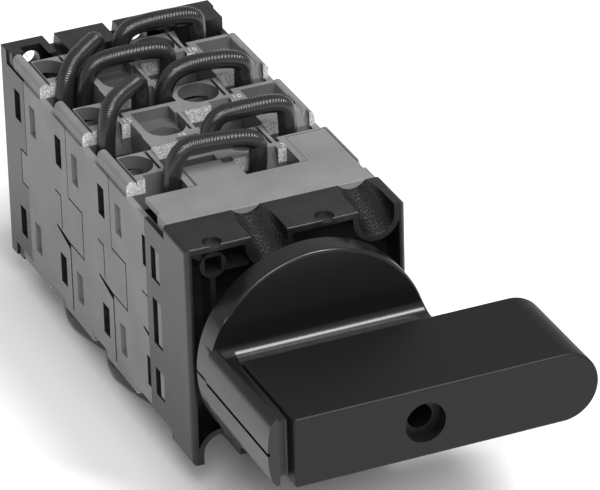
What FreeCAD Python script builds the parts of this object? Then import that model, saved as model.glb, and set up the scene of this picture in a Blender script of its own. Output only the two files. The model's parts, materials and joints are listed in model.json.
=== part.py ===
import FreeCAD
import Part
import math
import os

V = FreeCAD.Vector
os.makedirs("parts", exist_ok=True)

# Cam-operated changeover switch, millimetres. The origin is the centre of the rear
# plate's back face. +Z is up, the switch shaft lies along Y and the handle faces -Y.

# Housing stack, rear to front
body_width = 45.0
frame_height = 46.5
deck_top = 23.25            # terminal deck above the shaft
side_top = 20.3             # upper edge of the side walls
plate_depth = 12.0
cell_pitch = 22.8
cell_count = 3
cover_depth = 4.6
frame_depth = 11.4
flap_length = 9.0           # side flaps of the frame that lap the first cell
flap_thickness = 0.9
flap_half_height = 20.7
lap_clearance = 0.06
wall = 1.4

# Terminals: four columns across, their centres shifted slightly to the left
column_pitch = 11.6
column_shift = -0.6
rail_inset = 0.4
core_top = 16.6             # floor of the open spaces behind the blocks
well_floor = 12.0
well_length = 6.4
well_margin = 0.6
front_block = (-8.7, 1.9)   # columns 1 and 3 from the left, measured from the rear seam
rear_block = (-20.0, -4.0)  # columns 2 and 4
rail_run = (-6.0, 6.2)      # the outer rail passes the seam and holds the next piece
rail_width = 2.2
strip_thickness = 1.5
overhang_bottom = 20.5
pit_radius = 4.1
pit_offset = (-0.4, -0.1)   # across, for the two kinds of block
front_pit_y = -2.6
rear_pit_y = -12.9
pit_front_trim = 3.9        # flat front side of the pit
rail_gap = 0.1
trough_bottom = 20.9
trough_end = -5.2
pocket = (3.7, 4.3)         # narrow slot between the pit and its fin, across
fin_right = 5.0
fin_length = 8.3
fin_drop = 2.4
funnel = (-0.2, 4.2)        # sloping lead-in at the right of each block's front face
funnel_depth = 1.6
funnel_bottom = 18.0

# Side walls: latch windows, snap tongues and their slits
window_width = 3.2
window_height = 6.6
window_z = 13.2
window_from_seam = 4.4
window_depth = 0.9
slit = 0.35
slit_depth = 0.9
tongue_half = 5.0
tongue_reach = 7.2
tongue_thickness = 1.2
hook_back = 4.0
hook_slit_length = 3.2
tab_half = 3.6
tab_reach = 3.1

# Fixed and moving contacts
rear_level = -5.7           # contact planes, from the rear seam
front_level = -17.1
bar_bottom = 12.4
bar_top = 15.8
bar_margin = 0.8
front_bar = (-7.4, -0.4)
rear_bar = (-18.9, -7.7)
arm_thickness = 0.8
arm_x = 14.2                # inner face of the contact arms
arm_foot = 8.0              # how low the arms reach above the shaft
reach_bottom = 11.2
contact_width = 3.4
bridge_thickness = 0.8
bridge_half = 10.4
contact_gap = 1.3           # open gap at rest
contact_travel = 1.2        # each way, over the full handle angle
plunger_half = 2.9
plunger_width = 4.6
plunger_nose = 1.0
nib_half = 1.2
nib_length = 0.5
chamber_half_height = 11.05
chamber_half_depth = 2.55
slide_clearance = 0.25
seat_clearance = 0.15
spring_thickness = 0.35
screw_radius = 1.5
screw_head_radius = 2.3
screw_head_height = 1.7
screw_length = 5.2
screw_slot = 0.6
hole_clearance = 0.05

# Shaft, cams and detent
shaft_across = 6.0
shaft_chamfer = 0.6
shaft_front = 14.0          # how far the shaft stands before the frame's front face
journal_radius = 2.8
journal_from = 12.15
journal_to = 3.5
journal_clearance = 0.08
socket_clearance = 0.04
cam_rest_radius = 8.0
cam_clearance = 0.08
cam_bore_radius = 9.9
cam_width = 5.0
cam_hub_radius = 6.2
cam_end_gap = 0.25
cam_rise_angle = 72.0
handle_angle = 60.0
star_radius = 8.6
star_thickness = 3.0
star_from_front = 7.9
star_notches = 6
notch_radius = 1.7
notch_centre = 9.3
star_room = 0.6
leaf_thickness = 0.5
leaf_half = 11.0
leaf_z = 11.4
leaf_width = 2.4
leaf_nose_radius = 1.3
leaf_nose_z = 9.35

# Front frame and the cover behind it
frame_wall = 1.3
tray_depth = 6.0
tray_floor = 1.4
groove_radius = 3.7
groove_wall = 1.1
groove_x = (-5.4, 16.5)
groove_front_z = 21.1
groove_back_z = 25.6
boss_x = -16.5
boss_z = 18.6
boss_radius = 2.7
boss_hole = 3.4
boss_setback = 1.0
rib_thickness = 1.0
dimple_x = (-16.4, 6.5)
dimple_radius = 1.9
dimple_depth = 0.7
dimple_back = 1.6
collar_radius = 9.0
collar_bore = 7.3
frame_corner = 1.0
flap_window_back = (2.1, 6.3)
flap_windows = ((9.2, 16.2), (-5.0, 5.0), (-16.4, -10.4))
cover_shaft_radius = 4.6
cover_lid = 1.3
cover_lid_back = 7.4
middle_tab = (-10.6, 0.0, 15.4)
outer_tab = (12.6, 21.1, 18.1)
tab_step = (2.2, 1.8)

# Rear plate
fixing_radius = 2.0
fixing_z = 20.0
fixing_x = (-17.4, 5.8)
head_recess_radius = 3.9
plate_web = 3.0
plate_block_front = 8.6
plate_shelf_front = 8.0
bearing_bottom = 3.2
plate_dip = 2.2

# Handle
knob_radius = 22.6
knob_gap = 4.0
knob_thickness = 5.5
knob_rim = 1.6
knob_hollow = 3.5
hub_radius = 7.0
hub_gap = 0.2
neck_half = 5.0
neck_fillet = 2.4
lever_half = 7.2
lever_back = 16.0
lever_front = 40.2
lever_left = -18.4
lever_right = 43.2
lever_edge = 0.5
pointer_left = -22.9
pointer_right = -20.6
pointer_half_base = 7.0
pointer_half_tip = 5.0
pointer_shoulder = -21.2
pointer_front = 38.2
pointer_groove = 1.2
mark_width = 0.7
mark_depth = 0.5
mark_back = 4.0
hole_x = 7.8
hole_radius = 2.5
counterbore_radius = 4.1
counterbore_depth = 2.8
hole_depth = 16.0

# Wire links
wire_radius = 1.85
wire_bend = 2.7
front_well_leg = -10.8      # wire centre in the wells of columns 1 and 3, from the rear seam
rear_well_leg = -1.0
front_wire_end = -7.5
rear_wire_end = -7.6
wire_right = 3.9            # across, from the middle of the column
wire_far_end = -1.9
wire_left = -0.4
deck_exit = 24.2            # height where the wires leave the deck upright
arch_left = 29.0
arch_right = 28.0
arch_lean = 3.3
diagonal_top = 29.5
bottom_loop = 28.0

half_w = body_width / 2
half_h = frame_height / 2
cover_back = -(plate_depth + cell_count * cell_pitch)
frame_back = cover_back - cover_depth
frame_front = frame_back - frame_depth
columns = [(i - 1.5) * column_pitch + column_shift for i in range(4)]
half_column = column_pitch / 2
bar_mid = (bar_bottom + bar_top) / 2
inner_x = half_w - wall
lap_x = half_w - flap_thickness
lid_bottom = deck_top - cover_lid
rail_inner_x = -(half_w - rail_inset - rail_width)
bridge_x = arm_x + arm_thickness + contact_gap
star_front = frame_front + star_from_front
cam_slope = contact_travel / math.radians(handle_angle)
big = 60.0


def seam_y(cell):
    """Rear seam of a cell; cell 1 is the front one."""
    return -(plate_depth + (cell_count - cell) * cell_pitch)


def box(x0, x1, y0, y1, z0, z1):
    corner = V(min(x0, x1), min(y0, y1), min(z0, z1))
    return Part.makeBox(abs(x1 - x0), abs(y1 - y0), abs(z1 - z0), corner)


def rod_y(x, z, radius, y0, y1):
    return Part.makeCylinder(radius, abs(y1 - y0), V(x, min(y0, y1), z), V(0, 1, 0))


def rod_z(x, y, radius, z0, z1):
    return Part.makeCylinder(radius, abs(z1 - z0), V(x, y, min(z0, z1)), V(0, 0, 1))


def prism_y(points, y0, y1):
    """Closed outline in X and Z, drawn out along Y."""
    corners = [V(x, min(y0, y1), z) for x, z in points]
    face = Part.Face(Part.makePolygon(corners + corners[:1]))
    return face.extrude(V(0, abs(y1 - y0), 0))


def prism_x(points, x0, x1):
    """Closed outline in Y and Z, drawn out along X."""
    corners = [V(min(x0, x1), y, z) for y, z in points]
    face = Part.Face(Part.makePolygon(corners + corners[:1]))
    return face.extrude(V(abs(x1 - x0), 0, 0))


def rounded_y(edges, y0, y1):
    """Outline of lines and arcs in X and Z, drawn out along Y."""
    face = Part.Face(Part.Wire([e.toShape() for e in edges]))
    face.translate(V(0, min(y0, y1), 0))
    return face.extrude(V(0, abs(y1 - y0), 0))


def flip_z(shape):
    return shape.mirror(V(0, 0, 0), V(0, 0, 1))


def flip_x(shape):
    return shape.mirror(V(0, 0, 0), V(1, 0, 0))


def half_turn(shape):
    """The same shape turned half round the shaft."""
    turned = shape.copy()
    turned.rotate(V(0, 0, 0), V(0, 1, 0), 180)
    return turned


def fuse(shapes):
    return shapes[0].fuse(shapes[1:])


def both_ways(shapes, other):
    """The shapes together with their mirrored or turned twins."""
    return shapes + [other(s) for s in shapes]


def save(name, shape):
    shape = shape.removeSplitter()
    shape.exportStep("parts/" + name + ".step")
    print(name, len(shape.Solids), "solid", round(shape.Volume, 1), "mm3")


# Terminal deck

def is_front_facing(column):
    return column in (0, 2)


def column_limits(column):
    left = max(columns[column] - half_column, -(half_w - rail_inset))
    right = min(columns[column] + half_column, half_w - rail_inset)
    return left, right


def rail(side, y0, y1, z0):
    """Rounded ridge along an outer edge of the deck; side is the sign of X."""
    radius = rail_width / 2
    outer = half_w - rail_inset
    x_mid = side * (outer - radius)
    crown = rod_y(x_mid, deck_top - radius, radius, y0, y1)
    return crown.fuse(box(x_mid - radius, x_mid + radius, y0, y1, z0, deck_top - radius))


def deck_block(column, seam):
    """Raised block of one terminal up to the cell's rear seam."""
    y0, y1 = front_block if is_front_facing(column) else rear_block
    left, right = column_limits(column)
    foot = core_top - 0.5
    rear = min(y1, 0)
    inner_left = left + rail_width if column == 0 else left
    inner_right = right - rail_width if column == 3 else right
    pieces = [box(inner_left, inner_right, seam + y0, seam + rear, foot, deck_top)]
    if column in (0, 3):
        side = -1 if column == 0 else 1
        pieces.append(rail(side, seam + y0, seam + rear, foot))
    return fuse(pieces)


def overhangs(seam):
    """Back wall of the pits, rail and strip that pass over the rear seam."""
    pieces = []
    for column in (0, 2):
        left, right = column_limits(column)
        if column == 0:
            left += rail_width
        pieces.append(box(left, right, seam - 0.5, seam + front_block[1], overhang_bottom, deck_top))
    pieces.append(rail(-1, seam - 0.5, seam + rail_run[1], overhang_bottom))
    left = column_limits(2)[0]
    pieces.append(box(left, left + strip_thickness, seam - 0.5, seam + rail_run[1],
                      overhang_bottom, deck_top))
    return pieces


def pit_cuts(column, seam):
    """Screw pit with a flat front, its fin pocket, and the lead-in of the block's front."""
    front_facing = is_front_facing(column)
    y = seam + (front_pit_y if front_facing else rear_pit_y)
    x = columns[column] + pit_offset[0 if front_facing else 1]
    left, right = column_limits(column)
    edge_left = rail_inner_x + rail_gap if column == 0 else x - pit_radius
    edge_right = right - rail_width + 0.5 if column == 3 else x + pit_radius
    room = box(edge_left, edge_right, y - pit_front_trim, y + big, bar_top, big)
    cuts = [rod_z(x, y, pit_radius, bar_top, big).common(room)]
    if not front_facing:
        cuts.append(box(edge_left, edge_right - 0.2, y, seam + trough_end, trough_bottom, big))
    if column < 3:
        centre = columns[column]
        y0 = y - pit_front_trim
        cuts.append(box(centre + pocket[0], centre + pocket[1], y0 + 0.6, y0 + fin_length,
                        core_top + 1, big))
        slope = prism_x([(y0 + 0.6, deck_top + 1), (y0 + 0.6, deck_top - fin_drop),
                         (y0 + fin_length, deck_top - 0.2), (y0 + fin_length, deck_top + 1)],
                        centre + fin_right, right + 0.01)
        cuts.append(slope)
    y0 = seam + (front_block if front_facing else rear_block)[0]
    lead = prism_x([(y0 - 0.01, funnel_bottom), (y0 - 0.01, deck_top + 0.01),
                    (y0 + funnel_depth, deck_top + 0.01)],
                   columns[column] + funnel[0], columns[column] + funnel[1])
    cuts.append(lead)
    return cuts


def well_cuts(column, seam):
    """Wells that take the wires: before a front-facing block, behind the other kind."""
    left, right = column_limits(column)
    x0 = -inner_x if column == 0 else left + well_margin
    x1 = inner_x if column == 3 else right + well_margin / 3
    if is_front_facing(column):
        back = seam + front_block[0]
        return [box(x0, x1, back - well_length, back, well_floor, big)]
    front = seam - cell_pitch
    behind = box(x0, x1, seam + rear_block[1], seam + 1, well_floor, big)
    before = box(x0, x1, front - 1, seam + rear_block[0], well_floor, big)
    return [behind, before]


def bar_x(column):
    left, right = column_limits(column)
    x0 = max(left + bar_margin, -(inner_x - 0.2))
    x1 = min(right - bar_margin / 4, inner_x - 0.2)
    return x0, x1


def bar_y(column):
    return front_bar if is_front_facing(column) else rear_bar


def terminal_level(column):
    return rear_level if is_front_facing(column) else front_level


def contact_side(column):
    """Sign of X of the moving contact that a column serves."""
    return -1 if column < 2 else 1


def arm_reach(column):
    """Span across of the strip that joins a terminal bar to its contact arm."""
    side = contact_side(column)
    x0, x1 = bar_x(column)
    arm_out = side * (arm_x + arm_thickness)
    near = x1 if side < 0 else x0
    if x0 < arm_out < x1:
        near = side * arm_x
    return near, arm_out


def terminal_cuts(column, seam):
    """Room for a terminal bar, its strip and its arm, open to the wire well."""
    c = seat_clearance
    x0, x1 = bar_x(column)
    y0, y1 = bar_y(column)
    if is_front_facing(column):
        y0 = front_block[0] - 0.1
    else:
        y1 = rear_block[1] + 0.1
    bar = box(x0 - c, x1 + c, seam + y0 - c, seam + y1 + c, bar_bottom - 0.2, bar_top + 0.9)
    level = seam + terminal_level(column)
    half = contact_width / 2 + c
    near, out = arm_reach(column)
    side = contact_side(column)
    strip = box(near - side * c, out + side * c, level - half, level + half, reach_bottom - c, bar_bottom)
    return [bar, strip]


def contact_chamber(seam, level, side):
    """Room for one moving contact, and the guide of its plunger."""
    y = seam + level
    c = slide_clearance
    chamber = box(side * (arm_x - c), side * inner_x, y - chamber_half_depth, y + chamber_half_depth,
                  -chamber_half_height, chamber_half_height)
    guide = box(side * (cam_bore_radius - 3), side * (arm_x - c + 0.1),
                y - plunger_width / 2 - c, y + plunger_width / 2 + c,
                -plunger_half - c, plunger_half + c)
    return [chamber, guide]


# Cell housings

def side_cuts(seam, side):
    """Latch windows and the slits round the snaps in one side wall."""
    face = side * half_w
    front = seam - cell_pitch
    inner = face - side * slit_depth
    half = window_width / 2
    cuts = []
    for z in (-window_z, window_z):
        z0 = z - window_height / 2
        z1 = z + window_height / 2
        y = front + window_from_seam
        cuts.append(box(face, face - side * (wall - 0.2), y - half, y + half, z0, z1))
        y = seam - window_from_seam
        cuts.append(box(face, face - side * window_depth, y - half, y + half, z0, z1))
    y = front + hook_back
    z = tongue_half - 1.6
    cuts.append(box(face, inner, y, y + slit, 1 - tongue_half, z))
    cuts.append(box(face, inner, y, y + hook_slit_length, z, z + slit))
    wedge = [(front, -tongue_half - 1.6), (front, -tongue_half),
             (front + tongue_reach, -tongue_half + 1), (front + tongue_reach, -tongue_half + 0.5)]
    cuts.append(prism_x(wedge, face, inner))
    return cuts


def tongue(seam, side, clearance):
    """Snap tongue of the piece behind a seam, in the side wall before it."""
    face = side * half_w
    half = tongue_half + clearance
    return box(face, face - side * tongue_thickness, seam - tongue_reach - clearance, seam + 0.4,
               -half, half)


def rear_tab(side, clearance):
    """Tab of the last cell that the rear plate's side wall takes."""
    face = side * half_w
    seam = seam_y(cell_count)
    half = tab_half + clearance
    return box(face, face - side * tongue_thickness, seam - 0.4, seam + tab_reach + clearance,
               -half, half)


def lid_outline(clearance):
    """Top of the front cover: a strip across and two tabs that reach over terminals."""
    edge = half_w - rail_inset - rail_width / 2
    strip = box(-edge - clearance, edge + clearance, cover_back - 0.5,
                cover_back + cover_lid_back + clearance, lid_bottom - clearance, big)
    tabs = []
    for left, right, reach in (middle_tab, outer_tab):
        tabs.append(box(left - clearance, right + clearance, cover_back, cover_back + reach + clearance,
                        lid_bottom - clearance, big))
    return [strip] + tabs


def cell_housing(cell):
    seam = seam_y(cell)
    front = seam - cell_pitch
    pieces = [box(-half_w, half_w, front, seam, -core_top, core_top)]
    for side in (-1, 1):
        pieces.append(box(side * half_w, side * inner_x, front, seam, -side_top, side_top))
    for column in range(4):
        pieces += both_ways([deck_block(column, seam)], flip_z)
    cuts = [rod_y(0, 0, cam_bore_radius, front - 1, seam + 1)]
    for column in range(4):
        upper = pit_cuts(column, seam) + well_cuts(column, seam) + terminal_cuts(column, seam)
        cuts += both_ways(upper, flip_z)
    for level in (front_level, rear_level):
        for side in (-1, 1):
            cuts += contact_chamber(seam, level, side)
    for side in (-1, 1):
        cuts += side_cuts(seam, side)
        if cell < cell_count:
            cuts.append(tongue(seam, side, slit).common(box(-big, big, front, seam, -big, big)))
    if cell == 1:
        cuts += both_ways(lid_outline(lap_clearance), flip_z)
        lap = frame_back + flap_length + lap_clearance
        for side in (-1, 1):
            cuts.append(box(side * half_w, side * (lap_x - lap_clearance), front, lap, -big, big))
    shape = fuse(pieces).cut(cuts)
    extras = both_ways(overhangs(seam), flip_z)
    pit_tools = []
    for column in (0, 2):
        pit_tools += both_ways(pit_cuts(column, seam), flip_z)
    shape = shape.fuse([e.cut(pit_tools) for e in extras])
    for side in (-1, 1):
        if cell > 1:
            shape = shape.fuse(tongue(front, side, 0))
        if cell == cell_count:
            shape = shape.fuse(rear_tab(side, 0))
    if cell > 1:
        below = both_ways(overhangs(front), flip_z)
        shape = shape.cut([grown(b, slide_clearance) for b in below])
    return shape


def grown(shape, clearance):
    """Box round a shape, enlarged by a clearance."""
    b = shape.BoundBox
    return box(b.XMin - clearance, b.XMax + clearance, b.YMin, b.YMax + clearance,
               b.ZMin - clearance, b.ZMax + clearance)


# Front cover, front frame and rear plate

def front_cover():
    """Closes the front of the first cell and laps over its deck."""
    edge = half_w - rail_inset - rail_width / 2
    pieces = [box(-lap_x + lap_clearance, lap_x - lap_clearance, frame_back, cover_back, -half_h, half_h)]
    lids = fuse(lid_outline(0)).common(box(-edge, edge, cover_back - 0.5, 0, 0, deck_top))
    x0, x1, reach = middle_tab
    step = box(x1 - tab_step[0], x1 + 1, cover_back + reach - tab_step[1], cover_back + reach + 1, 0, big)
    bevel = prism_y([(x0 - 1, deck_top + 1), (x0 - 1, deck_top - 1), (x0, deck_top - 1),
                     (x0 + 1, deck_top + 1)], cover_back + cover_lid_back, cover_back + reach + 1)
    lids = lids.cut([step, bevel])
    pieces += both_ways([lids], flip_z)
    lug_back = cover_back
    for z0, z1 in flap_windows:
        lug = box(lap_x - 0.3, half_w - 0.2, frame_back + flap_window_back[0] + 0.2, lug_back,
                  z0 + 0.2, z1 - 0.2)
        pieces += both_ways([lug], flip_x)
    return fuse(pieces).cut(rod_y(0, 0, cover_shaft_radius, frame_back - 1, cover_back + 1))


def groove(x, radius, lift):
    """Slanting half-round channel that climbs to the rear, open at the top."""
    y0 = frame_front - 1
    rise = (groove_back_z - groove_front_z) / frame_depth
    z0 = groove_front_z - rise
    left = V(x - radius, y0, z0)
    right = V(x + radius, y0, z0)
    low = V(x, y0, z0 - radius)
    up = V(0, 0, lift)
    edges = [Part.Arc(left, low, right), Part.LineSegment(right, right + up),
             Part.LineSegment(right + up, left + up), Part.LineSegment(left + up, left)]
    face = Part.Face(Part.Wire([e.toShape() for e in edges]))
    run = frame_depth + 2
    return face.extrude(V(0, run, rise * run))


def front_frame():
    tray_back = frame_front + tray_depth
    outer = box(-half_w, half_w, frame_front, frame_back, -half_h, half_h)
    tray = box(-half_w + frame_wall, half_w - frame_wall, frame_front - 1, tray_back,
               -half_h + frame_wall, half_h - frame_wall)
    shape = outer.cut(tray)
    inside = box(-half_w, half_w, frame_front, frame_back, -half_h, half_h)
    walls = [groove(x, groove_radius + groove_wall, 8).common(inside) for x in groove_x]
    boss_front = frame_front + boss_setback
    boss = rod_y(boss_x, boss_z, boss_radius, boss_front, tray_back)
    rib_back = tray_back + 0.1
    half = rib_thickness / 2
    corner = (-half_w + frame_wall - 0.2, half_h - frame_wall + 0.2)
    to_corner = prism_y([(corner[0], corner[1] - 2 * half), (corner[0], corner[1]), (corner[0] + 2 * half, corner[1]),
                         (boss_x - boss_radius / 2 + half, boss_z + boss_radius / 2),
                         (boss_x - boss_radius / 2 - half, boss_z + boss_radius / 2 - half)],
                        frame_front + boss_setback + 0.5, rib_back)
    down = box(boss_x - half, boss_x + half, frame_front + boss_setback + 0.5, rib_back, 0, boss_z - boss_radius + 0.3)
    across = box(boss_x + boss_radius - 0.3, groove_x[0] - groove_radius, frame_front + boss_setback + 0.5,
                 rib_back, boss_z - 1.5 - half, boss_z - 1.5 + half)
    details = walls + [boss, to_corner, down, across]
    collar = rod_y(0, 0, collar_radius, frame_front, rib_back)
    shape = shape.fuse(both_ways(details, half_turn) + [collar])
    cuts = [groove(x, groove_radius, 8) for x in groove_x]
    hole = boss_hole / 2
    cuts.append(box(boss_x - hole, boss_x + hole, boss_front - 1, tray_back, boss_z - hole, boss_z + hole))
    for x in dimple_x:
        cuts.append(rod_z(x, frame_front + dimple_back, dimple_radius, half_h - dimple_depth, half_h + 1))
    cuts = both_ways(cuts, half_turn)
    cuts.append(rod_y(0, 0, collar_bore, frame_front - 1, tray_back + tray_floor + 1))
    star_back = frame_back + 1
    cuts.append(rod_y(0, 0, star_radius + star_room, tray_back + tray_floor, star_back))
    leaf_room = box(-leaf_half + 1.5, leaf_half - 1.5, tray_back + tray_floor, star_back, 4.0, leaf_z + 1.6)
    leaf_slot = box(-leaf_half - 0.1, leaf_half + 0.1, tray_back + tray_floor, star_back,
                    leaf_z - leaf_thickness / 2 - 0.1, leaf_z + leaf_thickness / 2 + 0.1)
    cuts += both_ways([leaf_room, leaf_slot], flip_z)
    shape = shape.cut(cuts)
    corners = [e for e in shape.Edges if len(e.Vertexes) == 2
               and all(abs(abs(v.X) - half_w) < 0.01 and abs(abs(v.Z) - half_h) < 0.01 for v in e.Vertexes)]
    shape = shape.makeFillet(frame_corner, corners)
    flaps = []
    for side in (-1, 1):
        flap = box(side * half_w, side * lap_x, frame_back - frame_corner, frame_back + flap_length,
                   -flap_half_height, flap_half_height)
        openings = [box(side * (half_w + 1), side * (lap_x - 1), frame_back + flap_window_back[0],
                        frame_back + flap_window_back[1], z0, z1) for z0, z1 in flap_windows]
        flaps.append(flap.cut(openings))
    return shape.fuse(flaps)


def rear_plate():
    front = -plate_depth
    pieces = [box(-half_w, half_w, front, 0, -core_top, core_top),
              box(-half_w, half_w, -plate_web, 0, -half_h, half_h)]
    upper = []
    for side in (-1, 1):
        upper.append(box(side * half_w, side * inner_x, front, 0, 0, side_top))
    for column in range(4):
        left, right = column_limits(column)
        depth = plate_shelf_front if is_front_facing(column) else plate_block_front
        upper.append(box(left, right, -depth, 0, core_top - 1, half_h))
    pieces += both_ways(upper, flip_z)
    cuts = []
    for column in (1, 3):
        left, right = column_limits(column)
        x1 = inner_x if column == 3 else right + well_margin / 3
        cuts.append(box(left + well_margin, x1, front - 1, -plate_block_front, well_floor, big))
    for x in fixing_x:
        cuts.append(rod_y(x, fixing_z, fixing_radius, -big, 1))
        cuts.append(rod_y(x, fixing_z, head_recess_radius, front - 1, -plate_web))
    for x0, x1 in ((-13.6, -11.0), (-0.6, 1.6), (9.6, 12.4)):
        cuts.append(prism_y([(x0, half_h + 0.1), (x0 + 0.8, half_h - plate_dip),
                             (x1 - 0.3, half_h - plate_dip), (x1, half_h + 0.1)], -plate_depth, 1))
    cuts = both_ways(cuts, flip_z)
    cuts += [grown(b, slide_clearance) for b in both_ways(overhangs(front), flip_z)]
    cuts += [rear_tab(side, slit) for side in (-1, 1)]
    cuts.append(rod_y(0, 0, journal_radius + journal_clearance, front - 1, -bearing_bottom))
    shape = fuse(pieces).cut(cuts)
    for side in (-1, 1):
        face = side * half_w
        for z in (-window_z, window_z):
            y = front + window_from_seam - 0.6
            shape = shape.cut(box(face, face - side * window_depth, y - window_width / 2, y + window_width / 2,
                                  z - window_height / 2, z + window_height / 2))
    return shape


# Shaft, cams and detent

def square_bar(across, chamfer, y0, y1):
    half = across / 2
    inner = half - chamfer
    points = [(-inner, -half), (inner, -half), (half, -inner), (half, inner),
              (inner, half), (-inner, half), (-half, inner), (-half, -inner)]
    return prism_y(points, y0, y1)


def socket(y0, y1):
    return square_bar(shaft_across + 2 * socket_clearance, shaft_chamfer, y0, y1)


def switch_shaft():
    square = square_bar(shaft_across, shaft_chamfer, frame_front - shaft_front, -journal_from)
    return square.fuse(rod_y(0, 0, journal_radius, -journal_from - 1, -journal_to))


def cam_radius_at(angle, sign):
    """Spiral over the working angle, joined by a straight run over the rest of each half turn."""
    folded = (angle + 90.0) % 180.0 - 90.0
    top = cam_slope * math.radians(cam_rise_angle)
    if abs(folded) <= cam_rise_angle:
        return cam_rest_radius + sign * cam_slope * math.radians(folded)
    rest = 90.0 - cam_rise_angle
    share = (90.0 - abs(folded)) / rest
    return cam_rest_radius + sign * math.copysign(top * share, folded)


def cam_lobe(y_mid, sign):
    count = 60
    step = 360.0 / count
    points = []
    for i in range(count):
        radius = cam_radius_at(i * step, sign)
        angle = math.radians(i * step)
        points.append((radius * math.cos(angle), radius * math.sin(angle)))
    return prism_y(points, y_mid - cam_width / 2, y_mid + cam_width / 2)


def cam_block(cell):
    """Level at the rear rises with the handle's angle, level at the front falls."""
    seam = seam_y(cell)
    hub = rod_y(0, 0, cam_hub_radius, seam - cell_pitch + cam_end_gap, seam - cam_end_gap)
    rear = cam_lobe(seam + rear_level, -1)
    front = cam_lobe(seam + front_level, 1)
    return fuse([hub, rear, front]).cut(socket(seam - cell_pitch, seam))


def detent_star():
    disc = rod_y(0, 0, star_radius, star_front, star_front + star_thickness)
    notches = []
    for i in range(star_notches):
        angle = math.radians(90 + i * 360 / star_notches)
        notches.append(rod_y(notch_centre * math.cos(angle), notch_centre * math.sin(angle), notch_radius,
                             star_front - 1, star_front + star_thickness + 1))
    notches.append(socket(star_front - 1, star_front + star_thickness + 1))
    return disc.cut(notches)


def detent_leaf():
    """Flat spring with a rounded nose that rests in the star's notch."""
    y0 = star_front + (star_thickness - leaf_width) / 2
    z0 = leaf_z - leaf_thickness / 2
    strip = box(-leaf_half, leaf_half, y0, y0 + leaf_width, z0, z0 + leaf_thickness)
    nose = rod_y(0, leaf_nose_z, leaf_nose_radius, y0, y0 + leaf_width)
    neck = box(-leaf_nose_radius, leaf_nose_radius, y0, y0 + leaf_width, leaf_nose_z, leaf_z)
    return fuse([strip, nose, neck])


# Contacts

def plunger(seam, level, side):
    """Slider between the cam and the contact bridge, drawn for the right-hand side."""
    tip = cam_rest_radius + cam_clearance
    y0 = seam + level - plunger_width / 2
    nose = Part.Arc(V(tip + plunger_nose, 0, plunger_nose), V(tip, 0, 0), V(tip + plunger_nose, 0, -plunger_nose))
    low = V(tip + plunger_half, 0, -plunger_half)
    low_end = V(bridge_x, 0, -plunger_half)
    high_end = V(bridge_x, 0, plunger_half)
    high = V(tip + plunger_half, 0, plunger_half)
    edges = [nose, Part.LineSegment(V(tip + plunger_nose, 0, -plunger_nose), low),
             Part.LineSegment(low, low_end), Part.LineSegment(low_end, high_end),
             Part.LineSegment(high_end, high), Part.LineSegment(high, V(tip + plunger_nose, 0, plunger_nose))]
    body = rounded_y(edges, y0, y0 + plunger_width)
    y = seam + level
    nib = box(bridge_x - 0.1, bridge_x + bridge_thickness + nib_length, y - nib_half, y + nib_half,
              -nib_half, nib_half)
    shape = body.fuse(nib)
    return shape if side > 0 else flip_x(shape)


def contact_bridge(seam, level, side):
    y = seam + level
    half = contact_width / 2
    hole = nib_half + hole_clearance
    plate = box(bridge_x, bridge_x + bridge_thickness, y - half, y + half, -bridge_half, bridge_half)
    opening = box(bridge_x - 1, bridge_x + 2, y - hole, y + hole, -hole, hole)
    shape = plate.cut(opening)
    return shape if side > 0 else flip_x(shape)


def contact_spring(seam, level, side):
    """Bowed strip: its middle bears on the bridge, its ends on the side wall."""
    y0 = seam + level - contact_width / 2
    inner = bridge_x + bridge_thickness + 0.05
    outer = inner_x - 0.05
    low, mid, high = V(outer, 0, -bridge_half + 1), V(inner, 0, 0), V(outer, 0, bridge_half - 1)
    back = V(spring_thickness, 0, 0)
    ends = V(outer - spring_thickness, 0, 0)
    low.x = ends.x
    high.x = ends.x
    edges = [Part.Arc(low, mid, high), Part.LineSegment(high, high + back),
             Part.Arc(high + back, mid + back, low + back), Part.LineSegment(low + back, low)]
    strip = rounded_y(edges, y0, y0 + contact_width)
    y = seam + level
    window = box(bridge_x, inner_x, y - nib_half - 0.2, y + nib_half + 0.2, -nib_half - 0.2, nib_half + 0.2)
    shape = strip.cut(window)
    return shape if side > 0 else flip_x(shape)


def fixed_contact(column, seam):
    """Terminal bar above the shaft, with the strip and arm that meet the moving contact."""
    x0, x1 = bar_x(column)
    y0, y1 = bar_y(column)
    pit_y = front_pit_y if is_front_facing(column) else rear_pit_y
    level = seam + terminal_level(column)
    half = contact_width / 2
    side = contact_side(column)
    near, out = arm_reach(column)
    bar = box(x0, x1, seam + y0, seam + y1, bar_bottom, bar_top)
    bar = bar.cut(rod_z(screw_x(column), seam + pit_y, screw_radius + hole_clearance,
                        bar_bottom - 1, bar_top + 1))
    end = min(max(out, x0), x1)
    riser = box(near, end, level - half, level + half, reach_bottom, bar_bottom + 0.1)
    strip = box(near, out, level - half, level + half, reach_bottom, reach_bottom + arm_thickness)
    arm = box(side * arm_x, out, level - half, level + half, arm_foot, reach_bottom + 0.1)
    return fuse([bar, riser, strip, arm])


def screw_x(column):
    wanted = columns[column] + pit_offset[0 if is_front_facing(column) else 1]
    return max(rail_inner_x + 2 * rail_gap + screw_head_radius, wanted)


def terminal_screw(column, seam):
    y = seam + (front_pit_y if is_front_facing(column) else rear_pit_y)
    x = screw_x(column)
    head = rod_z(x, y, screw_head_radius, bar_top, bar_top + screw_head_height)
    shank = rod_z(x, y, screw_radius, bar_top + 0.1 - screw_length + 2, bar_top + 0.1)
    slot = box(x - screw_head_radius, x + screw_head_radius, y - screw_slot / 2, y + screw_slot / 2,
               bar_top + screw_head_height - 0.8, bar_top + screw_head_height + 1)
    return head.fuse(shank).cut(slot)


# Handle

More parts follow.
